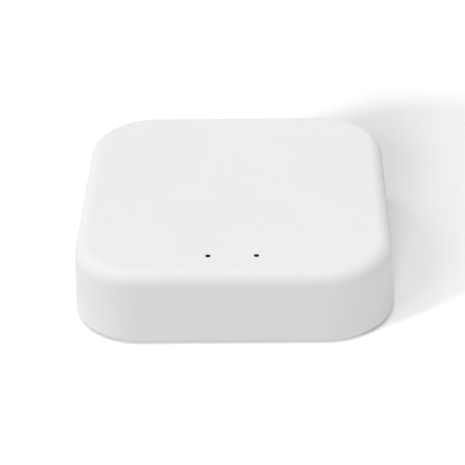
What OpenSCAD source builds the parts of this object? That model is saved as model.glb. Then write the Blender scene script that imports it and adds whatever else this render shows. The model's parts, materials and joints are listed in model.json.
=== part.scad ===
// Smart home hub: a square puck with rounded corners that joins small wireless devices to the home network.
// A top cover comes down over a base plate that is screwed in from below, under the rubber feet.
// The board inside carries the network jack, the power inlet, the radio module and the reset switch.
// The origin is in the middle of the footprint, on the surface that the feet stand on. +Z is up, -Y is the
// front, with the two status lights, and +Y is the back, with the ports and the reset button.

/* [Case] */
// Width and depth of the case at its bottom edge
case_w = 90; // [89:0.5:93]
// Height of the case above the gap that the feet leave
case_h = 21; // [20.8:0.1:23]
// Radius of the case's upright corners at the bottom edge
corner_r = 19.4; // [18.6:0.2:20]
// Angle by which the walls lean inwards
wall_lean = 2.5; // [1:0.5:3]
// Radius of the round edge between the walls and the top
edge_r = 4; // [3:0.1:4.4]
// Thickness of the top cover's walls and roof
wall_t = 2; // [1.8:0.1:2.2]
// Thickness of the base plate
base_t = 2; // [2:0.1:2.4]

/* [Feet and label] */
// Diameter of each rubber foot
foot_d = 12; // [11:0.5:12.5]
// Height by which the feet stand out below the case
foot_h = 1; // [0.8:0.1:1.5]
// Width of the blank label under the base
label_w = 44; // [30:1:48]
// Depth of the blank label, from front to back
label_d = 26; // [18:1:28]

/* [Status lights] */
// Diameter of the two light holes in the top
light_hole_d = 1.5; // [1.3:0.1:2]
// Distance between the two light holes
light_spacing = 13.3; // [12:0.1:15]
// Distance from the front edge of the footprint to the light holes
light_inset = 10.7; // [10:0.1:11.5]

/* [Back panel] */
// Place of the network jack's middle from side to side
jack_x = -12; // [-14:0.5:-11]
// Place of the power inlet's middle from side to side
usb_x = 6; // [5:0.5:7]
// Place of the reset button's axis from side to side
button_x = 20; // [18:0.5:21]
// Diameter of the reset button's cap
button_d = 4; // [3.6:0.1:4.2]
// Travel of the reset button
button_travel = 0.3; // [0.2:0.05:0.3]

/* [Circuit board] */
// Thickness of the circuit board
board_t = 1.2; // [1:0.1:1.2]
// Gap between the base plate and the board
board_lift = 1.4; // [1.4:0.1:1.8]

/* [Hidden] */

$fn = 72;
cut = 1;                                       // How far a cutter runs past the face that it opens
snug = 0.05;                                   // Gap round a piece that is held in its place

// Levels and corners of the case
case_low = foot_h;
case_top = foot_h + case_h;
roof_z = case_top - wall_t;
floor_z = case_low + base_t;
board_z = floor_z + board_lift;
board_top = board_z + board_t;
corner_c = case_w / 2 - corner_r;
edge_steps = 9;
inner_edge_r = edge_r - wall_t;

// Base plate
base_gap = 0.25;
base_half = case_w / 2 - wall_t - base_gap;
base_corner_r = base_half - corner_c;
vent_slot = [30, 1.6];
vent_pitch = 3.6;
vent_count = 6;
vent_y = 18;
support_r = 2;
support_spots = [[-24, 37], [0, 34]];
label_y = -14;
label_t = 0.15;
label_recess = 0.3;
label_corner_r = 2.5;

// Fasteners and the bosses that take them
boss_xy = 32;
boss_r = 3;
cup_r = 4.2;
board_boss_x = 35;
board_boss_r = 2.75;
screw_hole_r = 1.25;
screw_shank_r = 1.2;
screw_head_r = 2.2;
screw_head_h = 1.25;
screw_floor_t = 1.2;
screw_seat_z = board_z - screw_floor_t;
screw_clear_r = 1.45;
counterbore_r = 2.6;
case_screw_length = 9;
board_screw_length = 6;
pilot_extra = 1;
cross_slot = [2.4, 0.6, 0.8];

// Feet
foot_r = foot_d / 2;
foot_recess = 0.6;
foot_gap = 0.2;
foot_round = 0.4;
foot_round_steps = 4;

// Status lights
light_y = -case_w / 2 + light_inset;
pipe_r = 1.5;
pipe_tip_r = light_hole_d / 2 - snug;
pipe_low = board_top + 2.2;
pipe_shoulder_z = roof_z - 0.4;
pipe_recess = 0.05;
guard_size = [20, 7.4];
guard_low = board_top + 0.3;
led_size = [2, 1.25, 0.35];
led_lens = [1.2, 1.1, 0.45];

// Network jack
jack_size = [16, 21.3, 12];
jack_face_y = case_w / 2 - 1;
jack_back_y = jack_face_y - jack_size.y;
jack_window_gap = 0.2;
shield_t = 0.3;
shield_mouth = [13.4, 10.6];
shield_mouth_low = board_top + 0.7;
plug_w = 11.8;
plug_low = board_top + 3.4;
plug_high = board_top + 10.4;
plug_depth = 13;
latch_w = 6.4;
latch_low = board_top + 1.9;
latch_depth = 9;
key_w = 3.2;
key_low = board_top + 1;
contact_count = 8;
contact_pitch = 1.02;
contact_w = 0.44;
contact_slot_w = 0.62;
contact_t = 0.3;
contact_run_z = board_top + 10.9;
contact_bend_y = jack_face_y - 2.2;
contact_tip_y = contact_bend_y - 8.6;
contact_tip_z = board_top + 8.1;
contact_tail_y = jack_back_y + 1.9;

// Power inlet
usb_size = [7.6, 5.6, 2.7];
usb_face_y = case_w / 2 - 0.8;
usb_back_y = usb_face_y - usb_size.y;
usb_t = 0.3;
usb_chamfer = 0.9;
usb_chamfer_h = 1.1;
usb_window = [8.6, 3.7];
usb_window_r = 0.6;
usb_block_d = 1.4;
usb_tongue = [3.8, 3.9, 0.55];
usb_tongue_z = board_top + 1.5;
usb_contact = [0.35, 3.2, 0.1];
usb_contact_pitch = 0.65;
usb_contact_count = 5;

// Reset button and the switch behind it
button_z = board_top + 4.1;
button_r = button_d / 2;
button_hole_r = button_r + 0.1;
button_face_y = case_w / 2 - 0.6;
button_round = 0.35;
button_round_steps = 4;
button_flange_r = 2.8;
button_flange_t = 0.8;
button_flange_y = case_w / 2 - 2.9;
button_stem_r = 1.5;
button_touch = 0.05;
plunger_tip_y = case_w / 2 - 6.6;
plunger_r = 1.7;
plunger_hole_r = 1.8;
plunger_flange_r = 2.2;
plunger_flange_t = 1;
switch_face_y = plunger_tip_y - 0.8;
switch_plate_t = 0.3;
switch_size = [6, 3.4, 6];
switch_well_r = 2.4;
switch_well_d = 2.3;
switch_base_y = switch_face_y - switch_plate_t - switch_size.y;
bracket_arm_l = 3.4;
bracket_arm_top = button_z + 1.9;
dome_r = 2.2;
dome_h = 0.9;
dome_t = 0.12;
dome_fn = 180;
dome_sphere_r = (dome_r * dome_r + dome_h * dome_h) / (2 * dome_h);

// Circuit board and what stands on it
board_size = [80, 81.6];
board_mid_y = 0.8;
board_corner_r = 15;
board_boss_hole_r = 3.5;
chip_lift = 0.1;
lead_t = 0.15;
lead_w = 0.4;
wide_lead_w = 0.5;
lead_knee = 0.4;
lead_reach = 1;
cpu_at = [2, -2];
cpu_size = [14, 14, 1.4];
cpu_leads = 12;
cpu_pitch = 1;
ram_at = [-20, -2];
ram_size = [10.2, 22.2, 1.1];
ram_lead_count = 16;
ram_pitch = 1.27;
flash_at = [-20, -21];
flash_size = [4, 5, 1.6];
flash_lead_count = 4;
flash_pitch = 1.27;
transformer_at = [-12, 15.5];
transformer_size = [12.7, 7, 5.5];
transformer_lead_count = 8;
transformer_pitch = 1.27;
zigbee_at = [20, -18];
zigbee_size = [16, 24, 0.8];
can_size = [13.2, 15, 2.3];
can_t = 0.2;
can_shift_y = 2.5;
zigbee_chip_size = [7, 7, 0.9];
crystal_size = [11.4, 4.7, 3.5];
processor_crystal_at = [14, 12];
lan_crystal_at = [-30, 16];
capacitor_at = [[4, 22], [4, 30]];
capacitor_r = 3.15;
capacitor_h = 5.4;
capacitor_base = [6.6, 6.6, 0.8];
inductor_at = [[12, 22], [12, 30]];
inductor_size = [6, 6, 3];
inductor_waist_r = 2.4;
inductor_flange_t = 0.7;
regulator_at = [[20, 21], [20, 27]];
regulator_size = [2.9, 1.6, 1.1];
smd_size = [1.6, 0.8, 0.8];
smd_pitch = 2.6;
smd_capacitor_rows = [[-6, -13.5, 7], [-5, 9, 5]];
resistor_size = [0.8, 1.6, 0.45];
resistor_pitch = 2.4;
smd_resistor_rows = [[-10, -9, 7], [30, 8, 6]];

// Points of a round corner in an outline, from the angle start to the angle end about a centre
function arc_points(centre, r, start, end, steps) =
    [for (k = [0:steps]) let (a = start + (end - start) * k / steps) centre + r * [cos(a), sin(a)]];

// Distance from a corner's centre line out to the leaning wall, at a height
function wall_reach(inset, z) = corner_r - inset - (z - case_low) * tan(wall_lean);

// Half section of a block with leaning walls and a round top edge, out from a corner's centre line
module wall_section(inset, low, high, round_r) {
    round_z = high - round_r;
    round_u = wall_reach(inset, round_z) - round_r / cos(wall_lean);
    polygon(concat(
        [[0, low], [wall_reach(inset, low), low]],
        arc_points([round_u, round_z], round_r, wall_lean, 90, edge_steps),
        [[0, high]]));
}

// Solid block with the case's outline, leaning walls and a round top edge
module leaning_block(inset, low, high, round_r) {
    for (quarter = [0:3]) rotate(90 * quarter) {
        translate([corner_c, corner_c, 0])
            rotate_extrude(angle = 90) wall_section(inset, low, high, round_r);
        translate([corner_c, 0, 0]) rotate([90, 0, 0])
            linear_extrude(2 * corner_c, center = true) wall_section(inset, low, high, round_r);
    }
    translate([-corner_c, -corner_c, low]) cube([2 * corner_c, 2 * corner_c, high - low]);
}

// Rectangle with round corners, centred
module round_rect(size, r) {
    square([size.x - 2 * r, size.y], center = true);
    square([size.x, size.y - 2 * r], center = true);
    for (sx = [-1, 1], sy = [-1, 1])
        translate([sx * (size.x / 2 - r), sy * (size.y / 2 - r)]) circle(r);
}

// Box on the board, centred on a spot, with its underside at a height
module box_at(spot, size, z) {
    translate([spot.x - size.x / 2, spot.y - size.y / 2, z]) cube(size);
}

// Cylinder along Y between two places, on an axis given by its x and z
module y_rod(x, z, y_low, y_high, r) {
    translate([x, y_high, z]) rotate([90, 0, 0]) cylinder(h = y_high - y_low, r = r);
}

// Places of the four case screws
module at_boss() {
    for (sx = [-1, 1], sy = [-1, 1]) translate([sx * boss_xy, sy * boss_xy, 0]) children();
}

// Places of the two board screws
module at_board_boss() {
    for (sx = [-1, 1]) translate([sx * board_boss_x, 0, 0]) children();
}

module top_cover() {
    color("white") difference() {
        union() {
            difference() {
                leaning_block(0, case_low, case_top, edge_r);
                leaning_block(wall_t, case_low - cut, roof_z, inner_edge_r);
            }
            at_boss() translate([0, 0, board_z]) cylinder(h = roof_z - board_z + snug, r = boss_r);
            at_board_boss() translate([0, 0, board_top])
                cylinder(h = roof_z - board_top + snug, r = board_boss_r);
        }
        at_boss() translate([0, 0, board_z - cut])
            cylinder(h = cut + case_screw_length + pilot_extra, r = screw_hole_r);
        at_board_boss() translate([0, 0, board_top - cut])
            cylinder(h = cut + board_screw_length + pilot_extra, r = screw_hole_r);
        for (side = [-1, 1]) translate([side * light_spacing / 2, light_y, roof_z - cut])
            cylinder(h = wall_t + 2 * cut, r = light_hole_d / 2);
        translate([jack_x - jack_size.x / 2 - jack_window_gap, jack_back_y, board_top - jack_window_gap])
            cube([jack_size.x, jack_size.y + 2 * cut, jack_size.z] + 2 * jack_window_gap * [1, 0, 1]);
        translate([usb_x, usb_face_y + 2 * cut, board_top + usb_size.z / 2]) rotate([90, 0, 0])
            linear_extrude(usb_size.y) round_rect(usb_window, usb_window_r);
        y_rod(button_x, button_z, button_flange_y - button_flange_t, button_face_y + 2 * cut, button_hole_r);
    }
}

module base_cover() {
    color("white") difference() {
        union() {
            translate([0, 0, case_low]) linear_extrude(base_t)
                round_rect([2 * base_half, 2 * base_half], base_corner_r);
            at_boss() translate([0, 0, floor_z - cut]) cylinder(h = board_lift + cut, r = cup_r);
            for (spot = support_spots) translate([spot.x, spot.y, floor_z - cut])
                cylinder(h = board_lift + cut, r = support_r);
        }
        at_boss() {
            translate([0, 0, case_low - cut]) cylinder(h = foot_recess + cut, r = foot_r + foot_gap);
            translate([0, 0, case_low]) cylinder(h = screw_seat_z - case_low, r = counterbore_r);
            cylinder(h = board_z + cut, r = screw_clear_r);
        }
        translate([0, label_y, case_low - cut]) linear_extrude(label_recess + cut)
            round_rect([label_w, label_d] + 2 * foot_gap * [1, 1], label_corner_r);
        for (k = [0:vent_count - 1])
            translate([0, vent_y + (k - (vent_count - 1) / 2) * vent_pitch, case_low - cut])
                linear_extrude(base_t + 2 * cut) vent_outline();
    }
}

// Outline of one vent slot, with half-round ends
module vent_outline() {
    end_x = (vent_slot.x - vent_slot.y) / 2;
    square([2 * end_x, vent_slot.y], center = true);
    for (side = [-1, 1]) translate([side * end_x, 0]) circle(vent_slot.y / 2);
}

// One rubber foot, on the side given by its two signs
module foot(sx, sy) {
    color("dimgray") translate([sx * boss_xy, sy * boss_xy, 0]) rotate_extrude() polygon(concat(
        [[0, 0]],
        arc_points([foot_r - foot_round, foot_round], foot_round, -90, 0, foot_round_steps),
        [[foot_r, foot_h + foot_recess], [0, foot_h + foot_recess]]));
}

// Pan head screw that points up, with the underside of its head at a height
module screw(seat_z, length) {
    difference() {
        union() {
            translate([0, 0, seat_z - screw_head_h]) cylinder(h = screw_head_h, r = screw_head_r);
            translate([0, 0, seat_z - snug]) cylinder(h = length + snug, r = screw_shank_r);
        }
        for (turn = [0, 90]) rotate(turn)
            translate([-cross_slot.x / 2, -cross_slot.y / 2, seat_z - screw_head_h - cut])
                cube([cross_slot.x, cross_slot.y, cross_slot.z + cut]);
    }
}

module case_screws() {
    color("silver") at_boss() screw(screw_seat_z, case_screw_length);
}

module board_screws() {
    color("silver") at_board_boss() screw(board_z, board_screw_length);
}

module rating_label() {
    color("gainsboro") translate([0, label_y, case_low + label_recess - label_t]) linear_extrude(label_t)
        round_rect([label_w, label_d], label_corner_r);
}

module light_guard() {
    color("black") difference() {
        box_at([0, light_y], [guard_size.x, guard_size.y, roof_z - guard_low], guard_low);
        for (side = [-1, 1]) translate([side * light_spacing / 2, light_y, guard_low - cut])
            cylinder(h = roof_z - guard_low + 2 * cut, r = pipe_r + snug);
    }
}

// Smoked rod that carries one light up to the top of the case
module light_pipe(side) {
    tip_z = case_top - pipe_recess;
    color("dimgray", 0.8) translate([side * light_spacing / 2, light_y, 0]) union() {
        translate([0, 0, pipe_low]) cylinder(h = pipe_shoulder_z - pipe_low, r = pipe_r);
        translate([0, 0, pipe_shoulder_z - snug])
            cylinder(h = tip_z - pipe_shoulder_z + snug, r = pipe_tip_r);
    }
}

module led(side) {
    spot = [side * light_spacing / 2, light_y];
    color("ivory") union() {
        box_at(spot, led_size, board_top);
        box_at(spot, led_lens, board_top + led_size.z);
    }
}

module reset_button() {
    stem_y = plunger_tip_y + button_touch;
    flange_back_y = button_flange_y - button_flange_t;
    round_at = [button_r - button_round, button_face_y - button_round];
    color("whitesmoke") translate([button_x, 0, button_z]) rotate([-90, 0, 0])
        rotate_extrude() polygon(concat(
            [[0, stem_y], [button_stem_r, stem_y], [button_stem_r, flange_back_y],
                [button_flange_r, flange_back_y], [button_flange_r, button_flange_y],
                [button_r, button_flange_y]],
            arc_points(round_at, button_round, 0, 90, button_round_steps),
            [[0, button_face_y]]));
}

module switch_plunger() {
    flange_y = switch_face_y - switch_plate_t - button_travel;
    color("black") union() {
        y_rod(button_x, button_z, flange_y - snug, plunger_tip_y, plunger_r);
        y_rod(button_x, button_z, flange_y - plunger_flange_t, flange_y, plunger_flange_r);
    }
}

module switch_base() {
    color("black") difference() {
        translate([button_x - switch_size.x / 2, switch_base_y, button_z - switch_size.z / 2])
            cube(switch_size);
        y_rod(button_x, button_z, switch_base_y + switch_size.y - switch_well_d,
            switch_base_y + switch_size.y + cut, switch_well_r);
    }
}

// Sprung metal dome that the plunger snaps down
module switch_dome() {
    well_y = switch_base_y + switch_size.y - switch_well_d;
    color("silver") translate([button_x, well_y - dome_sphere_r + dome_h, button_z])
        rotate([-90, 0, 0]) rotate_extrude() intersection() {
            difference() {
                circle(dome_sphere_r, $fn = dome_fn);
                circle(dome_sphere_r - dome_t, $fn = dome_fn);
            }
            translate([0, dome_sphere_r - dome_h]) square([dome_r, dome_h + cut]);
        }
}

module switch_bracket() {
    arm_x = switch_size.x / 2 + snug;
    plate_low = button_z - switch_size.z / 2;
    color("silver") difference() {
        union() {
            translate([button_x - arm_x - switch_plate_t, switch_face_y - switch_plate_t, plate_low])
                cube([2 * (arm_x + switch_plate_t), switch_plate_t, switch_size.z]);
            for (side = [-1, 1])
                translate([button_x + side * (arm_x + switch_plate_t / 2) - switch_plate_t / 2,
                    switch_face_y - bracket_arm_l, board_top])
                    cube([switch_plate_t, bracket_arm_l, bracket_arm_top - board_top]);
        }
        y_rod(button_x, button_z, switch_face_y - switch_plate_t - cut, switch_face_y + cut, plunger_hole_r);
    }
}

// Folded metal cover of the network jack, open below and at its mouth
module ethernet_shield() {
    inner = [jack_size.x - 2 * shield_t, jack_size.y - 2 * shield_t, jack_size.z - shield_t];
    color("silver") difference() {
        box_at([jack_x, jack_face_y - jack_size.y / 2], jack_size, board_top);
        box_at([jack_x, jack_face_y - jack_size.y / 2], inner + [0, 0, cut], board_top - cut);
        translate([jack_x - shield_mouth.x / 2, jack_face_y - cut, shield_mouth_low])
            cube([shield_mouth.x, 2 * cut, shield_mouth.y]);
    }
}

// Space along Y that opens at the jack's mouth
module mouth_space(w, low, high, depth) {
    translate([jack_x - w / 2, jack_face_y - depth, low]) cube([w, depth + cut, high - low]);
}

// Places of the jack's contacts from side to side
module at_contact() {
    for (k = [0:contact_count - 1])
        translate([jack_x + (k - (contact_count - 1) / 2) * contact_pitch, 0, 0]) children();
}

module ethernet_housing() {
    outer = [jack_size.x - 2 * (shield_t + snug), jack_size.y - 2 * (shield_t + snug),
        jack_size.z - shield_t - snug];
    channel_high = contact_run_z + contact_t + snug;
    tail_low_y = contact_tail_y - snug;
    color("black") difference() {
        box_at([jack_x, jack_face_y - jack_size.y / 2], outer, board_top);
        mouth_space(plug_w, plug_low, plug_high, plug_depth);
        mouth_space(latch_w, latch_low, plug_high, latch_depth);
        mouth_space(key_w, key_low, plug_high, latch_depth);
        at_contact() {
            translate([-contact_slot_w / 2, contact_tip_y - 2 * snug, plug_high - cut])
                cube([contact_slot_w, contact_bend_y - contact_tip_y + 3 * snug,
                    channel_high - plug_high + cut]);
            translate([-contact_slot_w / 2, tail_low_y, contact_run_z - snug])
                cube([contact_slot_w, contact_bend_y + snug - tail_low_y, contact_t + 2 * snug]);
            translate([-contact_slot_w / 2, tail_low_y, board_top - cut])
                cube([contact_slot_w, contact_t + 2 * snug, channel_high - board_top + cut]);
        }
    }
}

// Row of bent contacts: a sprung arm over the plug's space, a run to the back and a tail to the board
module ethernet_contacts() {
    run_high = contact_run_z + contact_t;
    tail_inner_y = contact_tail_y + contact_t;
    color("gold") at_contact() translate([-contact_w / 2, 0, 0]) rotate([90, 0, 90])
        linear_extrude(contact_w) polygon([[contact_tip_y, contact_tip_z], [contact_bend_y, contact_run_z],
            [contact_bend_y, run_high], [contact_tail_y, run_high], [contact_tail_y, board_top],
            [tail_inner_y, board_top], [tail_inner_y, contact_run_z],
            [contact_bend_y - 3 * contact_t, contact_run_z], [contact_tip_y, contact_tip_z + contact_t]]);
}

// Outline of the power inlet, with its two chamfered lower corners, drawn smaller by an inset
function usb_points(inset) = let (
    half = usb_size.x / 2 - inset,
    narrow = half - usb_chamfer,
    low = inset,
    high = usb_size.z - inset
) [[-half, high], [half, high], [half, usb_chamfer_h], [narrow, low], [-narrow, low], [-half, usb_chamfer_h]];

// Outline of the power inlet drawn out along Y from one place to another
module usb_prism(inset, y_low, y_high) {
    translate([usb_x, y_high, board_top]) rotate([90, 0, 0])
        linear_extrude(y_high - y_low) polygon(usb_points(inset));
}

module usb_shell() {
    color("silver") difference() {
        usb_prism(0, usb_back_y, usb_face_y);
        usb_prism(usb_t, usb_back_y - cut, usb_face_y + cut);
    }
}

module usb_insulator() {
    color("black") union() {
        usb_prism(usb_t + snug, usb_back_y, usb_back_y + usb_block_d);
        translate([usb_x - usb_tongue.x / 2, usb_back_y + usb_block_d - snug, usb_tongue_z])
            cube([usb_tongue.x, usb_tongue.y + snug, usb_tongue.z]);
    }
}

module usb_contacts() {
    color("gold") for (k = [0:usb_contact_count - 1])
        translate([usb_x + (k - (usb_contact_count - 1) / 2) * usb_contact_pitch - usb_contact.x / 2,
            usb_back_y + usb_block_d, usb_tongue_z - usb_contact.z])
            cube(usb_contact);
}

module main_board() {
    color("darkgreen") difference() {
        translate([0, board_mid_y, board_z]) linear_extrude(board_t) round_rect(board_size, board_corner_r);
        at_boss() translate([0, 0, board_z - cut]) cylinder(h = board_t + 2 * cut, r = board_boss_hole_r);
        at_board_boss() translate([0, 0, board_z - cut]) cylinder(h = board_t + 2 * cut, r = screw_clear_r);
    }
}

// Row of bent leads along one side of a chip, which leave it along +X
module lead_row(x, count, pitch, w, h) {
    bend = lead_knee + lead_t;
    for (k = [0:count - 1])
        translate([x, (k - (count - 1) / 2) * pitch + w / 2, board_top]) rotate([90, 0, 0])
            linear_extrude(w) polygon([[0, h], [lead_knee, h], [lead_knee, 0], [lead_reach, 0],
                [lead_reach, lead_t], [bend, lead_t], [bend, h + lead_t], [0, h + lead_t]]);
}

// Leads along two or four sides of a chip, starting with the sides that face +X and -X
module chip_leads(spot, size, count, pitch, w, turns) {
    color("lightgray") translate([spot.x, spot.y, 0]) for (turn = turns) rotate(turn)
        lead_row((turn % 180 == 0 ? size.x : size.y) / 2, count, pitch, w, size.z / 2);
}

// Plastic body of a chip
module chip(spot, size) {
    color("black") box_at(spot, size, board_top + chip_lift);
}

module main_processor() {
    chip(cpu_at, cpu_size);
}

module processor_leads() {
    chip_leads(cpu_at, cpu_size, cpu_leads, cpu_pitch, lead_w, [0, 90, 180, 270]);
}

module ram_chip() {
    chip(ram_at, ram_size);
}

module ram_leads() {
    chip_leads(ram_at, ram_size, ram_lead_count, ram_pitch, lead_w, [0, 180]);
}

module flash_chip() {
    chip(flash_at, flash_size);
}

module flash_leads() {
    chip_leads(flash_at, flash_size, flash_lead_count, flash_pitch, lead_w, [0, 180]);
}

module lan_transformer() {
    chip(transformer_at, transformer_size);
}

module transformer_leads() {
    chip_leads(transformer_at, transformer_size, transformer_lead_count, transformer_pitch, wide_lead_w,
        [90, 270]);
}

module zigbee_board() {
    color("darkgreen") box_at(zigbee_at, zigbee_size, board_top);
}

// Metal can soldered over the radio chip, open below
module zigbee_shield() {
    can_z = board_top + zigbee_size.z;
    can_at = zigbee_at + [0, can_shift_y];
    color("silver") difference() {
        box_at(can_at, can_size, can_z);
        box_at(can_at, can_size - [2 * can_t, 2 * can_t, can_t - cut], can_z - cut);
    }
}

module zigbee_chip() {
    color("black") box_at(zigbee_at + [0, can_shift_y], zigbee_chip_size, board_top + zigbee_size.z);
}

// Crystal in a metal can with round ends
module crystal(spot) {
    color("silver") translate([spot.x, spot.y, board_top]) linear_extrude(crystal_size.z) {
        end_x = (crystal_size.x - crystal_size.y) / 2;
        square([2 * end_x, crystal_size.y], center = true);
        for (side = [-1, 1]) translate([side * end_x, 0]) circle(crystal_size.y / 2);
    }
}

module bulk_capacitor(spot) {
    color("gainsboro") union() {
        box_at(spot, capacitor_base, board_top);
        translate([spot.x, spot.y, board_top]) cylinder(h = capacitor_h, r = capacitor_r);
    }
}

// Ferrite drum between two square flanges
module power_inductor(spot) {
    flange = [inductor_size.x, inductor_size.y, inductor_flange_t];
    color("dimgray") union() {
        box_at(spot, flange, board_top);
        box_at(spot, flange, board_top + inductor_size.z - inductor_flange_t);
        translate([spot.x, spot.y, board_top]) cylinder(h = inductor_size.z, r = inductor_waist_r);
    }
}

module buck_regulator(spot) {
    color("black") box_at(spot, regulator_size, board_top);
}

module smd_capacitors() {
    color("tan") for (row = smd_capacitor_rows, k = [0:row[2] - 1])
        box_at([row[0] + k * smd_pitch, row[1]], smd_size, board_top);
}

module smd_resistors() {
    color("black") for (row = smd_resistor_rows, k = [0:row[2] - 1])
        box_at([row[0], row[1] + k * resistor_pitch], resistor_size, board_top);
}

top_cover();
base_cover();
foot(-1, -1);  // foot_front_left
foot(1, -1);  // foot_front_right
foot(-1, 1);  // foot_back_left
foot(1, 1);  // foot_back_right
case_screws();
board_screws();
rating_label();
light_guard();
light_pipe(-1);  // light_pipe_left
light_pipe(1);  // light_pipe_right
led(-1);  // led_power
led(1);  // led_network
reset_button();
switch_plunger();
switch_base();
switch_dome();
switch_bracket();
ethernet_shield();
ethernet_housing();
ethernet_contacts();
usb_shell();
usb_insulator();
usb_contacts();
main_board();
main_processor();
processor_leads();
ram_chip();
ram_leads();
flash_chip();
flash_leads();
lan_transformer();
transformer_leads();
zigbee_board();
zigbee_shield();
zigbee_chip();
crystal(processor_crystal_at);  // processor_crystal
crystal(lan_crystal_at);  // lan_crystal
bulk_capacitor(capacitor_at[0]);  // bulk_capacitor_1
bulk_capacitor(capacitor_at[1]);  // bulk_capacitor_2
power_inductor(inductor_at[0]);  // power_inductor_1
power_inductor(inductor_at[1]);  // power_inductor_2
buck_regulator(regulator_at[0]);  // buck_regulator_1
buck_regulator(regulator_at[1]);  // buck_regulator_2
smd_capacitors();
smd_resistors();
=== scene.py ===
"""Looks of the smart home hub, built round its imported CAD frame. Lengths are in metres."""

import json
import math

import bmesh
import bpy
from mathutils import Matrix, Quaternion, Vector


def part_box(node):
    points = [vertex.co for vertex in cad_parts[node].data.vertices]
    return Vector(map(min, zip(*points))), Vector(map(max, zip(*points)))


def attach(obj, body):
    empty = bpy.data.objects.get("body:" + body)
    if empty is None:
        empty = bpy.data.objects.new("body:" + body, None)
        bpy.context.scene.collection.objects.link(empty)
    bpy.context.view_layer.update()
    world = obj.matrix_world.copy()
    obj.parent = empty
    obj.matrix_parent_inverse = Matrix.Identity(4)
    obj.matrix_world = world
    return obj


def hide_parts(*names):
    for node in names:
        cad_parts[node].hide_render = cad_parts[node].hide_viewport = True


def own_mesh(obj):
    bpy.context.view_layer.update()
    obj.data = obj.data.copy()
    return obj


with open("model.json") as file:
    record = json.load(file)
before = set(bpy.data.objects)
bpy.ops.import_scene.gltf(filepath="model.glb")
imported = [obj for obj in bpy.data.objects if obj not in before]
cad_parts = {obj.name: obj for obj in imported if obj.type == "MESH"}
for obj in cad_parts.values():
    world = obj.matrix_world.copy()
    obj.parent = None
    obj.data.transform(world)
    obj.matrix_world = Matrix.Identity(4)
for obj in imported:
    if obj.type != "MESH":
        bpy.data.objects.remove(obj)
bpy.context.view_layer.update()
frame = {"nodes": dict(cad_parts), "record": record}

MM = 0.001

# Shape of the case. Its width and height come from the frame.
CORNER_R = 19.4 * MM
WALL_LEAN = math.radians(2.5)
EDGE_R = 4 * MM
WALL_T = 2 * MM
RIM_R = 0.35 * MM
WINDOW_R = 0.25 * MM
LIGHT_MOUTH_R = 0.06 * MM

# How finely round shapes are cut up, where an edge counts as sharp, and what counts as one point
CORNER_STEPS = 32
EDGE_STEPS = 14
ROUND_STEPS = 64
SMALL_STEPS = 48
SHARP_ANGLE = math.radians(38)
MERGE_DISTANCE = 0.0005 * MM

COVER_LOW, COVER_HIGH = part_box("top_cover")
CORNER_C = COVER_HIGH.x - CORNER_R
TOP_Z = COVER_HIGH.z
LOW_Z = COVER_LOW.z
ROOF_Z = TOP_Z - WALL_T

BASE_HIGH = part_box("base_cover")[1]
BASE_T = 2 * MM
FLOOR_Z = LOW_Z + BASE_T
BOARD_T = 1.2 * MM


# ---------------------------------------------------------------- shapes

def box_size(node):
    """Middle and size of a CAD node's box."""
    low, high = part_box(node)
    return (low + high) / 2, high - low


def arc(centre, r, start, end, steps):
    """Points on an arc about a 2-D centre, between two angles in degrees."""
    angles = [math.radians(start + (end - start) * k / steps) for k in range(steps + 1)]
    return [(centre[0] + r * math.cos(a), centre[1] + r * math.sin(a)) for a in angles]


def round_loop(centre, size, r, offset=0.0, steps=8):
    """Rectangle with round corners as 2-D points, grown outwards by an offset."""
    half = (size[0] / 2 + offset, size[1] / 2 + offset)
    r = r + offset
    points = []
    for turn, (sx, sy) in enumerate(((1, 1), (-1, 1), (-1, -1), (1, -1))):
        corner = (centre[0] + sx * (half[0] - r), centre[1] + sy * (half[1] - r))
        points += arc(corner, r, 90 * turn, 90 * turn + 90, steps)
    return points


def circle_loop(centre, r, steps=SMALL_STEPS):
    """Circle as 2-D points."""
    return arc(centre, r, 0, 360 * (steps - 1) / steps, steps - 1)


def strip(bm, loops, closed=True, skip=()):
    """Faces between each loop of points and the next one. Loops have the same number of points."""
    rows = [[bm.verts.new(p) for p in loop] for loop in loops]
    count = len(rows[0])
    for a, b in zip(rows, rows[1:]):
        for k in range(count if closed else count - 1):
            n = (k + 1) % count
            if k not in skip:
                bm.faces.new((a[k], a[n], b[n], b[k]))


def panel(bm, outline, holes=()):
    """Flat panel inside an outline and outside its holes."""
    edges = []
    for loop in (outline, *holes):
        verts = [bm.verts.new(p) for p in loop]
        edges += [bm.edges.new((verts[k - 1], verts[k])) for k in range(len(verts))]
    bmesh.ops.triangle_fill(bm, use_beauty=True, use_dissolve=False, edges=edges)


def revolve(bm, profile, centre, steps=ROUND_STEPS, axis="Z"):
    """Turns (radius, height) points about an upright axis, or about one along Y."""
    rings = []
    for r, h in profile:
        ring = [(centre[0] + x, centre[1] + y) for x, y in circle_loop((0, 0), max(r, 0), steps)]
        rings.append([Vector((x, y, h)) if axis == "Z" else Vector((x, h, y)) for x, y in ring])
    strip(bm, rings)


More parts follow.
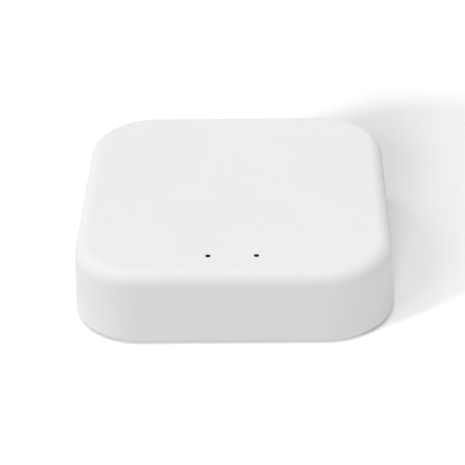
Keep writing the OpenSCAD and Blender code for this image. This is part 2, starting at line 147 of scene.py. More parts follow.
def finish_piece(name, bm, slot, node, body="case"):
    """Makes the piece that stands for a CAD node, with its look and the body that it rides on.

    Its faces are smooth, and its edges are hard where they turn sharply.
    """
    bmesh.ops.remove_doubles(bm, verts=bm.verts, dist=MERGE_DISTANCE)
    bmesh.ops.dissolve_degenerate(bm, edges=bm.edges, dist=MERGE_DISTANCE)
    bmesh.ops.recalc_face_normals(bm, faces=bm.faces)
    mesh = bpy.data.meshes.new(name)
    bm.to_mesh(mesh)
    bm.free()
    mesh.polygons.foreach_set("use_smooth", [True] * len(mesh.polygons))
    mesh.set_sharp_from_angle(angle=SHARP_ANGLE)
    mesh.materials.append(LOOKS[slot])
    piece = bpy.data.objects.new(name, mesh)
    bpy.context.scene.collection.objects.link(piece)
    weighted = piece.modifiers.new("weighted_normals", "WEIGHTED_NORMAL")
    weighted.keep_sharp = True
    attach(piece, body)
    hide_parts(node)
    return piece


# ---------------------------------------------------------------- materials

class Look:
    """A node material under construction."""

    def __init__(self, name):
        self.material = bpy.data.materials.new(name)
        self.material.use_nodes = True
        self.tree = self.material.node_tree
        self.shader = self.tree.nodes["Principled BSDF"]
        self.place = self.add("ShaderNodeTexCoord").outputs["Object"]

    def add(self, kind, **settings):
        """Adds a node."""
        node = self.tree.nodes.new(kind)
        for key, value in settings.items():
            setattr(node, key, value)
        return node

    def join(self, source, target):
        """Links an output to an input."""
        self.tree.links.new(source, target)

    def set(self, **values):
        """Sets the shader's own values. An underscore stands for a space."""
        for key, value in values.items():
            self.shader.inputs[key.replace("_", " ")].default_value = value
        return self

    def stretched(self, stretch):
        """Object coordinates, scaled differently along each axis."""
        mapping = self.add("ShaderNodeMapping")
        mapping.inputs["Scale"].default_value = stretch
        self.join(self.place, mapping.inputs["Vector"])
        return mapping.outputs["Vector"]

    def noise(self, grain, detail=3.0, stretch=None):
        """Noise with features of about a size, in metres."""
        node = self.add("ShaderNodeTexNoise")
        node.inputs["Scale"].default_value = 1 / grain
        node.inputs["Detail"].default_value = detail
        self.join(self.stretched(stretch) if stretch else self.place, node.inputs["Vector"])
        return node.outputs["Fac"]

    def ramp(self, source, low, high, start=0.35, end=0.65):
        """Spreads a value between two grey levels or colours."""
        node = self.add("ShaderNodeValToRGB")
        first, last = node.color_ramp.elements
        first.position, last.position = start, end
        first.color, last.color = rgba(low), rgba(high)
        self.join(source, node.inputs["Fac"])
        return node.outputs["Color"]

    def colour(self, source):
        """Uses a value as the base colour."""
        self.join(source, self.shader.inputs["Base Color"])
        return self

    def roughness(self, source):
        """Uses a value as the roughness."""
        self.join(source, self.shader.inputs["Roughness"])
        return self

    def bump(self, source, depth):
        """Uses a value as relief of a depth, in metres."""
        node = self.add("ShaderNodeBump")
        node.inputs["Distance"].default_value = depth
        self.join(source, node.inputs["Height"])
        self.join(node.outputs["Normal"], self.shader.inputs["Normal"])
        return self


def rgba(value):
    """A grey level or a colour as four numbers."""
    return (value, value, value, 1) if isinstance(value, float) else (*value, 1)


def moulded(name, low, high, rough, grain, depth, cloud=14 * MM, specular=0.5):
    """Moulded plastic: slight cloudiness, uneven sheen and a fine spark-eroded grain."""
    look = Look(name).set(IOR=1.5, Specular_IOR_Level=specular)
    look.colour(look.ramp(look.noise(cloud), low, high))
    look.roughness(look.ramp(look.noise(3 * MM), rough[0], rough[1]))
    look.bump(look.noise(grain, detail=5.0), depth)
    return look.material


def metal(name, low, high, rough, stretch, depth=0.004 * MM):
    """Sheet metal with fine rolling marks along one direction."""
    look = Look(name).set(Metallic=1.0)
    marks = look.noise(1 * MM, detail=4.0, stretch=stretch)
    look.colour(look.ramp(look.noise(2 * MM), low, high))
    look.roughness(look.ramp(marks, rough[0], rough[1]))
    look.bump(marks, depth)
    return look.material


def board_material():
    """Green solder mask over copper tracks, which show as slightly paler, raised lines."""
    look = Look("board_green").set(IOR=1.5)
    cells = look.add("ShaderNodeTexVoronoi", feature="DISTANCE_TO_EDGE", distance="MANHATTAN")
    cells.inputs["Scale"].default_value = 1 / (3 * MM)
    look.join(look.place, cells.inputs["Vector"])
    tracks = look.ramp(cells.outputs["Distance"], 1.0, 0.0, 0.06, 0.08)
    look.colour(look.ramp(tracks, (0.006, 0.05, 0.018), (0.012, 0.085, 0.03), 0.0, 1.0))
    look.roughness(look.ramp(look.noise(1.5 * MM), 0.2, 0.32))
    look.bump(tracks, 0.02 * MM)
    return look.material


# The look of each material slot in the record. Colours are linear. Each look drifts between two colours
# and between two roughnesses. A moulded one goes on with the size and depth of its grain, and a metal one
# with the scale of its rolling marks along each axis.
LOOKS = {
    "white_case": moulded("case_white", (0.772, 0.772, 0.772), (0.782, 0.782, 0.782), (0.6, 0.68),
                          0.25 * MM, 0.005 * MM, cloud=30 * MM),
    "button_white": moulded("button_white", (0.7, 0.7, 0.7), (0.73, 0.73, 0.73), (0.3, 0.4),
                            0.3 * MM, 0.003 * MM),
    "foot_rubber": moulded("foot_rubber", (0.04, 0.04, 0.042), (0.06, 0.06, 0.062), (0.75, 0.9),
                           0.15 * MM, 0.01 * MM),
    "label_film": moulded("label_film", (0.52, 0.52, 0.51), (0.56, 0.56, 0.55), (0.28, 0.36),
                          0.4 * MM, 0.002 * MM),
    "guard_black": moulded("guard_black", (0.006, 0.006, 0.006), (0.01, 0.01, 0.01), (0.75, 0.9),
                           0.2 * MM, 0.01 * MM),
    # Nearly black: partly the smoked plastic's own tint, partly painted shade of deep light holes, as the
    # rods' tips lie level with the top
    "smoked_plastic": moulded("smoked_plastic", (0.004, 0.004, 0.005), (0.007, 0.007, 0.008),
                              (0.22, 0.3), 0.3 * MM, 0.001 * MM, specular=0.2),
    "led_resin": moulded("led_resin", (0.72, 0.7, 0.5), (0.8, 0.78, 0.6), (0.2, 0.3),
                         0.2 * MM, 0.002 * MM),
    "connector_black": moulded("connector_black", (0.012, 0.012, 0.013), (0.02, 0.02, 0.021),
                               (0.4, 0.55), 0.12 * MM, 0.004 * MM),
    "chip_black": moulded("chip_epoxy", (0.012, 0.012, 0.013), (0.022, 0.022, 0.023), (0.5, 0.65),
                          0.1 * MM, 0.006 * MM),
    "ferrite": moulded("ferrite", (0.035, 0.035, 0.037), (0.06, 0.06, 0.062), (0.6, 0.8),
                       0.2 * MM, 0.012 * MM),
    "chip_ceramic": moulded("chip_ceramic", (0.3, 0.2, 0.11), (0.38, 0.26, 0.15), (0.35, 0.5),
                            0.1 * MM, 0.003 * MM),
    "resistor_black": moulded("resistor_black", (0.01, 0.01, 0.01), (0.02, 0.02, 0.02), (0.15, 0.3),
                              0.1 * MM, 0.002 * MM),
    "connector_steel": metal("connector_steel", (0.62, 0.61, 0.58), (0.7, 0.69, 0.66), (0.2, 0.34),
                             (0.15, 1, 1)),
    "screw_steel": metal("screw_zinc", (0.55, 0.55, 0.52), (0.64, 0.64, 0.6), (0.25, 0.4),
                         (1, 1, 0.4)),
    "can_nickel": metal("can_nickel", (0.6, 0.58, 0.53), (0.66, 0.64, 0.59), (0.22, 0.36),
                        (1, 0.12, 1)),
    "lead_tin": metal("lead_tin", (0.66, 0.66, 0.65), (0.74, 0.74, 0.73), (0.25, 0.4),
                      (1, 1, 1)),
    "contact_gold": metal("contact_gold", (0.83, 0.56, 0.2), (0.9, 0.64, 0.27), (0.14, 0.25),
                          (1, 0.2, 1)),
    "capacitor_can": metal("capacitor_can", (0.68, 0.68, 0.69), (0.76, 0.76, 0.77), (0.25, 0.38),
                           (1, 1, 0.1)),
    "board_green": board_material(),
}


# ---------------------------------------------------------------- camera, floor and light

# The camera looks at the target as the photo's does: turned about Z from the front, raised and rolled
VIEW_TURN = math.radians(1.925)
VIEW_RISE = math.radians(33.53)
VIEW_ROLL = math.radians(-1.55)
VIEW_TARGET = Vector((-1.2 * MM, 8.78 * MM, LOW_Z))
VIEW_DISTANCE = 486.4 * MM
LENS_MM = 124.5
SENSOR_MM = 36
CLIP_START = 0.01
CLIP_END = 20


def direction(turn, rise):
    """Unit vector turned about Z from the front, and raised."""
    return Vector((math.sin(turn) * math.cos(rise), -math.cos(turn) * math.cos(rise), math.sin(rise)))


def make_camera():
    """Camera at the photo's place, looking straight at the target."""
    back = direction(VIEW_TURN, VIEW_RISE)
    data = bpy.data.cameras.new("camera")
    data.lens = LENS_MM
    data.sensor_width = SENSOR_MM
    data.clip_start = CLIP_START
    data.clip_end = CLIP_END
    camera = bpy.data.objects.new("camera", data)
    bpy.context.scene.collection.objects.link(camera)
    camera.location = VIEW_TARGET + back * VIEW_DISTANCE
    camera.rotation_mode = "QUATERNION"
    straight = (-back).to_track_quat("-Z", "Y")
    camera.rotation_quaternion = straight @ Quaternion((0, 0, 1), VIEW_ROLL)
    bpy.context.scene.camera = camera


FLOOR_SIZE = 8.0
FLOOR_DROP = 0.01 * MM
FLOOR_GLOW = 0.22
# How far the floor's painted contact shade reaches from the case
PAINTED_SHADE_REACH = 1.4 * MM


def make_floor():
    """White floor just under the feet, with painted shade that darkens its colour and its glow close to
    and under the case. It can be seen through from below.
    """
    look = Look("floor_white").set(IOR=1.45)
    # Painted contact shadow: ambient occlusion darkens the floor's colour and glow near and under the case
    painted_contact_shade = look.add("ShaderNodeAmbientOcclusion")
    painted_contact_shade.inputs["Distance"].default_value = PAINTED_SHADE_REACH
    white = look.ramp(look.noise(60 * MM), (0.93, 0.93, 0.93), (0.94, 0.94, 0.94))
    look.join(white, painted_contact_shade.inputs["Color"])
    look.colour(painted_contact_shade.outputs["Color"])
    look.join(painted_contact_shade.outputs["Color"], look.shader.inputs["Emission Color"])
    look.roughness(look.ramp(look.noise(20 * MM), 0.8, 0.9))
    look.set(Emission_Strength=FLOOR_GLOW, Specular_IOR_Level=0.0)
    clear_below = look.add("ShaderNodeMixShader")
    look.join(look.add("ShaderNodeNewGeometry").outputs["Backfacing"], clear_below.inputs["Fac"])
    look.join(look.shader.outputs["BSDF"], clear_below.inputs[1])
    look.join(look.add("ShaderNodeBsdfTransparent").outputs["BSDF"], clear_below.inputs[2])
    look.join(clear_below.outputs["Shader"], look.tree.nodes["Material Output"].inputs["Surface"])
    bm = bmesh.new()
    bmesh.ops.create_grid(bm, x_segments=1, y_segments=1, size=FLOOR_SIZE / 2)
    mesh = bpy.data.meshes.new("floor")
    bm.to_mesh(mesh)
    bm.free()
    mesh.materials.append(look.material)
    floor = bpy.data.objects.new("floor", mesh)
    floor.location.z = -FLOOR_DROP
    bpy.context.scene.collection.objects.link(floor)
    return floor


# Strength of the sky as a light, and as it is seen by the camera
SKY_LIGHT = 0.435
SKY_SHOWN = 1.2

# Each lamp: its turn about Z from the front, height angle and spread in degrees, its strength, and what
# it lights
LAMPS = {
    "top_light": (-86, 71, 35, 2.22, "object"),
    "side_light": (-59, 9, 12, 5.5, "floor"),
    "back_light": (-140, 40, 20, 0.35, "floor"),
    "front_light": (-8, 6, 13, 4, "floor"),
    "high_light": (-40, 32, 18, 0.5, "floor"),
}


def make_sky():
    """A white room, which lights everything evenly and shows pure white behind the floor."""
    world = bpy.data.worlds.new("studio")
    world.use_nodes = True
    tree = world.node_tree
    background = tree.nodes["Background"]
    background.inputs["Color"].default_value = (1, 1, 1, 1)
    path = tree.nodes.new("ShaderNodeLightPath")
    level = tree.nodes.new("ShaderNodeMapRange")
    level.inputs["To Min"].default_value = SKY_LIGHT
    level.inputs["To Max"].default_value = SKY_SHOWN
    tree.links.new(path.outputs["Is Camera Ray"], level.inputs["Value"])
    tree.links.new(level.outputs["Result"], background.inputs["Strength"])
    bpy.context.scene.world = world


def make_lamps(floor):
    """Soft, distant lamps. Those that light the floor alone cast the long shadow on the right."""
    floor_only = bpy.data.collections.new("floor_light")
    floor_only.objects.link(floor)
    not_floor = bpy.data.collections.new("object_light")
    not_floor.objects.link(floor)
    not_floor.collection_objects[0].light_linking.link_state = "EXCLUDE"
    for name, (turn, rise, spread, strength, lit) in LAMPS.items():
        towards = direction(math.radians(turn), math.radians(rise))
        data = bpy.data.lights.new(name, "SUN")
        data.angle = math.radians(spread)
        data.energy = strength
        lamp = bpy.data.objects.new(name, data)
        bpy.context.scene.collection.objects.link(lamp)
        lamp.rotation_mode = "QUATERNION"
        lamp.rotation_quaternion = (-towards).to_track_quat("-Z", "Y")
        lamp.light_linking.receiver_collection = floor_only if lit == "floor" else not_floor


# ---------------------------------------------------------------- top cover

def reach(inset, z):
    """Distance from a corner's centre line out to the leaning wall, at a height."""
    return CORNER_R - inset - (z - LOW_Z) * math.tan(WALL_LEAN)


def plan_ring(u, z):
    """The case's outline at a height, a distance u out from the corners' centres, from the +X side on."""
    points = []
    for turn, (sx, sy) in enumerate(((1, 1), (-1, 1), (-1, -1), (1, -1))):
        points += arc((sx * CORNER_C, sy * CORNER_C), u, 90 * turn, 90 * turn + 90, CORNER_STEPS)
    return [Vector((x, y, z)) for x, y in points]


BACK_WALL = CORNER_STEPS  # the step of the ring that crosses the flat back wall


def wall_profile(inset, high, round_r, steps):
    """(u, z) points of the round edge over a leaning wall, from the wall up to the flat top."""
    round_z = high - round_r
    round_u = reach(inset, round_z) - round_r / math.cos(WALL_LEAN)
    return arc((round_u, round_z), round_r, math.degrees(WALL_LEAN), 90, steps)


def hole_rings(loop, outer, inner, r, steps=5):
    """Rings of points down a hole whose mouth is rounded by r, from the outer face to the inner one.

    loop(offset) gives the hole's outline, outer(point, depth) places it near the outer face, and
    inner(point) places it in the inner one.
    """
    rings = []
    for k in range(steps + 1):
        a = math.radians(90 * k / steps)
        rings.append([outer(p, r * (1 - math.cos(a))) for p in loop(r * (1 - math.sin(a)))])
    rings.append([inner(p) for p in loop(0.0)])
    return rings


def back_place(p, depth=0.0, inset=0.0):
    """A point of the back wall, from its x and z."""
    return Vector((p[0], CORNER_C + reach(inset, p[1]) - depth, p[1]))


def window_loops():
    """Outline functions of the openings in the back wall."""
    jack_mid, jack_size = box_size("ethernet_shield")
    usb_mid, usb_size = box_size("usb_shell")
    button_mid, _ = box_size("reset_button")
    jack_gap, jack_corner_r = 0.2 * MM, 0.3 * MM
    usb_gap, usb_corner_r = 0.5 * MM, 0.6 * MM
    button_hole_r = 2.1 * MM
    jack_window = (jack_size.x + 2 * jack_gap, jack_size.z + 2 * jack_gap)
    usb_window = (usb_size.x + 2 * usb_gap, usb_size.z + 2 * usb_gap)
    return [
        lambda offset: round_loop((jack_mid.x, jack_mid.z), jack_window, jack_corner_r, offset),
        lambda offset: round_loop((usb_mid.x, usb_mid.z), usb_window, usb_corner_r, offset),
        lambda offset: circle_loop((button_mid.x, button_mid.z), button_hole_r + offset, ROUND_STEPS),
    ]


def light_loops():
    """Outline functions of the two light holes."""
    hole_r = 0.75 * MM
    loops = []
    for node in ("light_pipe_left", "light_pipe_right"):
        middle, _ = box_size(node)
        loops.append(lambda offset, spot=middle: circle_loop((spot.x, spot.y), hole_r + offset))
    return loops


def screw_spots(node):
    """Axes of the screws in a CAD node: at the corners of its box, or at the ends of a narrow box."""
    low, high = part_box(node)
    head_r = 2.2 * MM
    is_narrow = high.y - low.y <= 3 * head_r
    ys = [(low.y + high.y) / 2] if is_narrow else [low.y + head_r, high.y - head_r]
    return [(x, y) for x in (low.x + head_r, high.x - head_r) for y in ys]


def boss_profile(r, low, depth):
    """(radius, height) points of a screw boss under the roof, with its pilot hole."""
    hole_r = 1.25 * MM
    edge = 0.2 * MM
    return [(r, ROOF_Z), (r, low + edge), (r - edge, low), (hole_r + edge, low), (hole_r, low + edge),
            (hole_r, low + depth), (0, low + depth)]


# Screw bosses under the roof: the screws' node, the boss's radius, how far it ends above the base
# plate's top, and its hole's depth. The circuit board lies under the board screws' bosses.
BOSSES = (
    ("case_screws", 3 * MM, 0, 10 * MM),
    ("board_screws", 2.75 * MM, BOARD_T, 7 * MM),
)


def make_cover():
    """Top cover: a shell with windows in its back wall, light holes in its roof, and screw bosses."""
    bm = bmesh.new()
    rim_in = 0.15 * MM
    inner_steps = 6
    low_in = reach(WALL_T, LOW_Z)
    low_out = reach(0, LOW_Z) - RIM_R
    rim = [(low_in, LOW_Z + rim_in), (low_in + rim_in, LOW_Z)]
    rim += arc((low_out, LOW_Z + RIM_R), RIM_R, -90, math.degrees(WALL_LEAN), inner_steps)
    outer_edge = wall_profile(0, TOP_Z, EDGE_R, EDGE_STEPS)
    inner_edge = wall_profile(WALL_T, ROOF_Z, EDGE_R - WALL_T, inner_steps)

    strip(bm, [plan_ring(u, z) for u, z in rim])
    strip(bm, [plan_ring(u, z) for u, z in outer_edge])
    strip(bm, [plan_ring(u, z) for u, z in inner_edge])
    strip(bm, [plan_ring(*rim[-1]), plan_ring(*outer_edge[0])], skip=(BACK_WALL,))
    strip(bm, [plan_ring(*rim[0]), plan_ring(*inner_edge[0])], skip=(BACK_WALL,))

    windows = [hole_rings(loop, back_place, lambda p: back_place(p, inset=WALL_T), WINDOW_R)
               for loop in window_loops()]
    lights = [hole_rings(loop, lambda p, depth: Vector((p[0], p[1], TOP_Z - depth)),
                         lambda p: Vector((p[0], p[1], ROOF_Z)), LIGHT_MOUTH_R, steps=4)
              for loop in light_loops()]
    for rings in windows + lights:
        strip(bm, rings)

    # The back wall and the roof, outside and then inside: their holes end in the first or the last ring
    for edge, low, side, roof in ((outer_edge, rim[-1], 0, TOP_Z), (inner_edge, rim[0], -1, ROOF_Z)):
        corners = [plan_ring(*low)[k] for k in (BACK_WALL, BACK_WALL + 1)]
        corners += [plan_ring(*edge[0])[k] for k in (BACK_WALL + 1, BACK_WALL)]
        panel(bm, corners, [rings[side] for rings in windows])
        panel(bm, plan_ring(edge[-1][0], roof), [rings[side] for rings in lights])

    for node, boss_r, gap, depth in BOSSES:
        for spot in screw_spots(node):
            revolve(bm, boss_profile(boss_r, BASE_HIGH.z + gap, depth), spot, SMALL_STEPS)
    finish_piece("top_cover_shell", bm, "white_case", "top_cover")


# ---------------------------------------------------------------- base plate, feet and label

FOOT_NODES = ("foot_front_left", "foot_front_right", "foot_back_left", "foot_back_right")
SUPPORT_SPOTS = ((-24 * MM, 37 * MM), (0, 34 * MM))
LABEL_R = 2.5 * MM


def at_height(z):
    """Places a 2-D point at a height, or deeper above it."""
    return lambda p, depth=0.0: Vector((p[0], p[1], z + depth))


def circle_at(spot, r, z):
    """Level circle about a 2-D point."""
    return [at_height(z)(p) for p in circle_loop(spot, r, ROUND_STEPS)]


def foot_recesses(bm, cup_r):
    """Adds the recesses for the feet, each with a screw's counterbore and hole and the cup round them.
    Gives the recesses' rings and the places of the feet."""
    recess_r = 6.2 * MM
    recess_top = LOW_Z + 0.6 * MM
    mouth_r = 0.15 * MM
    counterbore_r = 2.6 * MM
    seat_z = BASE_HIGH.z - 1.2 * MM
    clear_r = 1.45 * MM
    spots, recesses = [], []
    for node in FOOT_NODES:
        middle, _ = box_size(node)
        spot = (middle.x, middle.y)
        rings = hole_rings(lambda offset: circle_loop(spot, recess_r + offset, ROUND_STEPS),
                           at_height(LOW_Z), at_height(recess_top), mouth_r)
        strip(bm, rings)
        panel(bm, rings[-1], [circle_at(spot, counterbore_r, recess_top)])
        revolve(bm, [(counterbore_r, recess_top), (counterbore_r, seat_z), (clear_r, seat_z),
                     (clear_r, BASE_HIGH.z), (cup_r, BASE_HIGH.z), (cup_r, FLOOR_Z)], spot)
        spots.append(spot)
        recesses.append(rings)
    return recesses, spots


def label_recess(bm):
    """Adds the shallow recess for the label, and gives its rings."""
    middle, size = box_size("rating_label")
    gap = 0.2 * MM
    depth = 0.3 * MM
    mouth_r = 0.12 * MM
    recess_size = (size.x + 2 * gap, size.y + 2 * gap)
    rings = hole_rings(lambda offset: round_loop((middle.x, middle.y), recess_size, LABEL_R, offset),
                       at_height(LOW_Z), at_height(LOW_Z + depth), mouth_r)
    strip(bm, rings)
    panel(bm, rings[-1])
    return rings


def vent_slots(bm):
    """Adds the row of vent slots, and gives their rings."""
    count, pitch = 6, 3.6 * MM
    row_y = 18 * MM
    slot_size = (30 * MM, 1.6 * MM)
    slot_r = 0.78 * MM
    mouth_r = 0.2 * MM
    vents = []
    for k in range(count):
        centre = (0, row_y + (k - (count - 1) / 2) * pitch)
        rings = hole_rings(lambda offset: round_loop(centre, slot_size, slot_r, offset),
                           at_height(LOW_Z), at_height(FLOOR_Z), mouth_r)
        strip(bm, rings)
        vents.append(rings)
    return vents


def make_base():
    """Base plate with its recesses, vent slots, screw cups and board supports."""
    bm = bmesh.new()
    edge_r = 0.25 * MM
    cup_r = 4.2 * MM
    support_r = 2 * MM
    reach_u = BASE_HIGH.x - CORNER_C
    rim = arc((reach_u - edge_r, LOW_Z + edge_r), edge_r, -90, 0, 5) + [(reach_u, FLOOR_Z)]
    strip(bm, [plan_ring(u, z) for u, z in rim])
    recesses, spots = foot_recesses(bm, cup_r)
    label = label_recess(bm)
    vents = vent_slots(bm)
    panel(bm, plan_ring(rim[0][0], LOW_Z), [rings[0] for rings in (*recesses, label, *vents)])

    inside = [rings[-1] for rings in vents]
    inside += [circle_at(spot, cup_r, FLOOR_Z) for spot in spots]
    for spot in SUPPORT_SPOTS:
        inside.append(circle_at(spot, support_r, FLOOR_Z))
        revolve(bm, [(support_r, FLOOR_Z), (support_r, BASE_HIGH.z), (0, BASE_HIGH.z)], spot)
    panel(bm, plan_ring(reach_u, FLOOR_Z), inside)
    finish_piece("base_plate", bm, "white_case", "base_cover")


def make_feet():
    """Four round rubber pads, rounder at the bottom edge than at the top one."""
    edge_r, top_r = 0.4 * MM, 0.1 * MM
    foot_steps = 96
    for node in FOOT_NODES:
        bm = bmesh.new()
        middle, size = box_size(node)
        r, top = size.x / 2, size.z
        profile = [(0, 0)] + arc((r - edge_r, edge_r), edge_r, -90, 0, 8)
        profile += arc((r - top_r, top - top_r), top_r, 0, 90, 3) + [(0, top)]
        revolve(bm, profile, (middle.x, middle.y), foot_steps)
        finish_piece(node + "_pad", bm, "foot_rubber", node)


def make_label():
    """Blank label, with a rounded lower edge."""
    bm = bmesh.new()
    low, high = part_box("rating_label")
    middle, size = box_size("rating_label")
    edge = 0.05 * MM
    rows = [(-edge, low.z), (0.0, low.z + edge), (0.0, high.z)]
    loops = [[at_height(z)(p) for p in round_loop((middle.x, middle.y), (size.x, size.y), LABEL_R, offset)]
             for offset, z in rows]
    strip(bm, loops)
    panel(bm, loops[0])
    panel(bm, loops[-1])
    finish_piece("blank_label", bm, "label_film", "rating_label")


# ---------------------------------------------------------------- lights and button

def make_light_pipes():
    """Nearly black smoked rods with a slightly domed tip, level with the top. Their darkness is partly the
    plastic's own tint and partly painted shade of deep light holes.
    """
    tip_r, dome_h = 0.7 * MM, 0.06 * MM
    dome_r = (tip_r ** 2 + dome_h ** 2) / (2 * dome_h)
    half_angle = math.degrees(math.asin(tip_r / dome_r))
    shoulder_gap, edge = 0.4 * MM, 0.1 * MM
    for node in ("light_pipe_left", "light_pipe_right"):
        bm = bmesh.new()
        low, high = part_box(node)
        middle, size = box_size(node)
        r, shoulder = size.x / 2, ROOF_Z - shoulder_gap
        profile = [(0, low.z), (r, low.z), (r, shoulder - edge), (r - edge, shoulder), (tip_r, shoulder)]
        profile += arc((0, high.z - dome_r), dome_r, 90 - half_angle, 90, 8)
        revolve(bm, profile, (middle.x, middle.y), SMALL_STEPS)
        finish_piece(node + "_rod", bm, "smoked_plastic", node)


def make_button():
    """Reset button with a round edge and a slightly dished face."""
    bm = bmesh.new()
    low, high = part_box("reset_button")
    middle, size = box_size("reset_button")
    flange_r = size.x / 2
    cap_r, stem_r, edge_r = 2 * MM, 1.5 * MM, 0.35 * MM
    dish, dish_margin = 0.12 * MM, 0.15 * MM
    flange_low, flange_high = high.y - 3.1 * MM, high.y - 2.3 * MM
    profile = [(0, low.y), (stem_r, low.y), (stem_r, flange_low), (flange_r, flange_low),
               (flange_r, flange_high), (cap_r, flange_high)]
    profile += arc((cap_r - edge_r, high.y - edge_r), edge_r, 0, 90, 8)
    dish_r = cap_r - edge_r - dish_margin
    profile += [(dish_r * math.cos(math.radians(a)), high.y - dish * math.sin(math.radians(a)))
                for a in range(0, 91, 10)]
    revolve(bm, profile, (middle.x, middle.z), axis="Y")
    finish_piece("reset_cap", bm, "button_white", "reset_button", body="button")


def make_dome():
    """Thin metal dome of the reset switch, built in its rest shape, with a mesh of its own."""
    bm = bmesh.new()
    low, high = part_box("switch_dome")
    middle, size = box_size("switch_dome")
    sheet, travel, steps = 0.12 * MM, 0.3 * MM, 14
    rim_r, rise = size.x / 2, high.y - low.y
    dome_r = (rim_r ** 2 + rise ** 2) / (2 * rise)
    centre_y = high.y - dome_r
    rim_angle = math.degrees(math.asin((low.y - centre_y) / dome_r))
    inner_r = dome_r - sheet
    inner_angle = math.degrees(math.asin((low.y - centre_y) / inner_r))
    profile = arc((0, centre_y), dome_r, 90, rim_angle, steps)
    profile += arc((0, centre_y), inner_r, inner_angle, 90, steps)
    revolve(bm, profile, (middle.x, middle.z), axis="Y")
    dome = finish_piece("snap_dome", bm, "connector_steel", "switch_dome")
    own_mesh(dome)


# ---------------------------------------------------------------- ports

def rounded(points, r, steps=5, closed=True):
    """Outline through 2-D points with each corner turned by a curve that starts a distance r from it."""
    out = []
    count = len(points)
    for k, p in enumerate(points):
        if not closed and k in (0, count - 1):
            out.append(p)
            continue
        here = Vector(p)
        before = (Vector(points[k - 1]) - here).normalized() * r + here
        after = (Vector(points[(k + 1) % count]) - here).normalized() * r + here
        for i in range(steps + 1):
            t = i / steps
            out.append(tuple(before * (1 - t) ** 2 + here * 2 * t * (1 - t) + after * t ** 2))
    return out


def back_loop(points, y):
    """2-D points in x and z, placed at one y."""
    return [Vector((x, y, z)) for x, z in points]


def rectangle(low, high):
    """Corners of an upright rectangle, from two of them."""
    return [(low[0], low[1]), (high[0], low[1]), (high[0], high[1]), (low[0], high[1])]


def make_jack_shield():
    """Sheet metal cover of the jack, open below, with its mouth cut in the face that shows."""
    bm = bmesh.new()
    low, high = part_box("ethernet_shield")
    middle, _ = box_size("ethernet_shield")
    sheet, fold_r = 0.3 * MM, 0.12 * MM
    mouth_w, mouth_h, mouth_r = 13.4 * MM, 10.6 * MM, 0.4 * MM
    mouth_low = low.z + 0.7 * MM
    front = back_loop(rectangle((low.x, low.z), (high.x, high.z)), high.y)
    back = back_loop(rectangle((low.x, low.z), (high.x, high.z)), low.y)
    mouth = rounded(rectangle((middle.x - mouth_w / 2, mouth_low),
                              (middle.x + mouth_w / 2, mouth_low + mouth_h)), mouth_r)
    panel(bm, front, [back_loop(mouth, high.y)])
    panel(bm, back)
    strip(bm, [front, back], skip=(0,))
    piece = finish_piece("jack_shield", bm, "connector_steel", "ethernet_shield")
    outwards = piece.data.polygons[0].normal.dot(piece.data.polygons[0].center - middle) > 0
    solid = add_before_normals(piece, "sheet", "SOLIDIFY")
    solid.thickness = sheet
    solid.offset = -1 if outwards else 1
    soften(piece, fold_r)


def add_before_normals(piece, name, kind):
    """Adds a modifier ahead of the one that weights the normals."""
    modifier = piece.modifiers.new(name, kind)
    piece.modifiers.move(len(piece.modifiers) - 1, len(piece.modifiers) - 2)
    return modifier


def soften(piece, width, steps=3):
    """Rounds the sharp edges."""
    bevel = add_before_normals(piece, "soft_edges", "BEVEL")
    bevel.width = width
    bevel.segments = steps
    bevel.limit_method = "ANGLE"
    bevel.angle_limit = SHARP_ANGLE
    bevel.harden_normals = False


def softened_copy(name, node, slot, width):
    """The shape of a CAD node with its flat faces joined up and its edges rounded."""
    bm = bmesh.new()
    bm.from_mesh(frame["nodes"][node].data)
    bmesh.ops.remove_doubles(bm, verts=bm.verts, dist=MERGE_DISTANCE)
    bmesh.ops.dissolve_limit(bm, angle_limit=math.radians(1), verts=bm.verts, edges=bm.edges)
    soften(finish_piece(name, bm, slot, node), width)


def make_contacts():
    """Eight sprung contacts, each one strip bent smoothly down into the jack."""
    bm = bmesh.new()
    low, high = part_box("ethernet_contacts")
    middle, _ = box_size("ethernet_contacts")
    count, pitch, width, thick = 8, 1.02 * MM, 0.44 * MM, 0.3 * MM
    bend_r, edge_r = 0.9 * MM, 0.05 * MM
    tip_y, tip_z = high.y - 8.6 * MM, low.z + 8.25 * MM
    run_z = high.z - thick / 2
    path = rounded([(tip_y, tip_z), (high.y - thick / 2, run_z), (low.y + thick / 2, run_z),
                    (low.y + thick / 2, low.z)], bend_r, steps=8, closed=False)
    for k in range(count):
        x = middle.x + (k - (count - 1) / 2) * pitch
        loops = []
        for i, p in enumerate(path):
            along = Vector(path[min(i + 1, len(path) - 1)]) - Vector(path[max(i - 1, 0)])
            side = Vector((-along.y, along.x)).normalized() * thick / 2
            loops.append([Vector((x + u * width / 2, p[0] + side.x * v, p[1] + side.y * v))
                          for u, v in ((-1, -1), (1, -1), (1, 1), (-1, 1))])
        strip(bm, loops)
        panel(bm, loops[0])
        panel(bm, loops[-1])
    piece = finish_piece("jack_contacts", bm, "contact_gold", "ethernet_contacts")
    soften(piece, edge_r, steps=2)


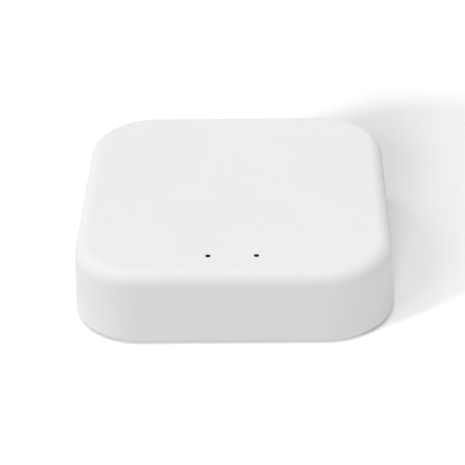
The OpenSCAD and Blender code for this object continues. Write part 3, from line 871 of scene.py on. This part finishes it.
def make_usb_shell():
    """Drawn metal shell of the power inlet, with a lip that flares at its mouth."""
    bm = bmesh.new()
    low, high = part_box("usb_shell")
    middle, size = box_size("usb_shell")
    sheet, corner = 0.3 * MM, 0.35 * MM
    chamfer, chamfer_h = 0.9 * MM, 1.1 * MM
    flare, lip, edge = 0.18 * MM, 0.7 * MM, 0.1 * MM

    def outline(inset):
        """Outline of the shell, with its lower corners cut off, a distance inside its widest one."""
        half = size.x / 2 - inset
        left, right = middle.x - half, middle.x + half
        bottom, top = low.z + inset, high.z - inset
        chamfer_top = low.z + chamfer_h
        return rounded([(left, top), (left, chamfer_top), (left + chamfer, bottom),
                        (right - chamfer, bottom), (right, chamfer_top), (right, top)], corner)

    rows = [(0.0, low.y), (0.0, high.y - lip)]
    for angle in range(15, 90, 15):
        opening = flare * (1 - math.cos(math.radians(angle)))
        rows.append((-opening, high.y - lip * (1 - angle / 90)))
    rows += [(-flare, high.y - edge), (-flare + edge, high.y), (-flare + sheet - edge, high.y),
             (-flare + sheet, high.y - edge), (sheet, high.y - lip), (sheet, low.y)]
    loops = [back_loop(outline(inset), y) for inset, y in rows]
    strip(bm, loops + loops[:1])
    finish_piece("power_inlet_shell", bm, "connector_steel", "usb_shell")


# ---------------------------------------------------------------- the rest of the CAD nodes

def dress_nodes():
    """Gives every CAD node the look of its slot."""
    for part in frame["record"]["subparts"]:
        materials = frame["nodes"][part["node"]].data.materials
        materials.clear()
        materials.append(LOOKS[part["material_slot"]])


make_camera()
make_sky()
make_lamps(make_floor())
make_cover()
make_base()
make_feet()
make_label()
make_light_pipes()
make_button()
make_dome()
make_jack_shield()
make_contacts()
make_usb_shell()
softened_copy("jack_body", "ethernet_housing", "connector_black", 0.12 * MM)
softened_copy("power_inlet_block", "usb_insulator", "connector_black", 0.05 * MM)
softened_copy("power_inlet_contacts", "usb_contacts", "contact_gold", 0.02 * MM)
dress_nodes()

scene = bpy.context.scene
scene.view_settings.view_transform = "Standard"
scene.view_settings.look = "None"
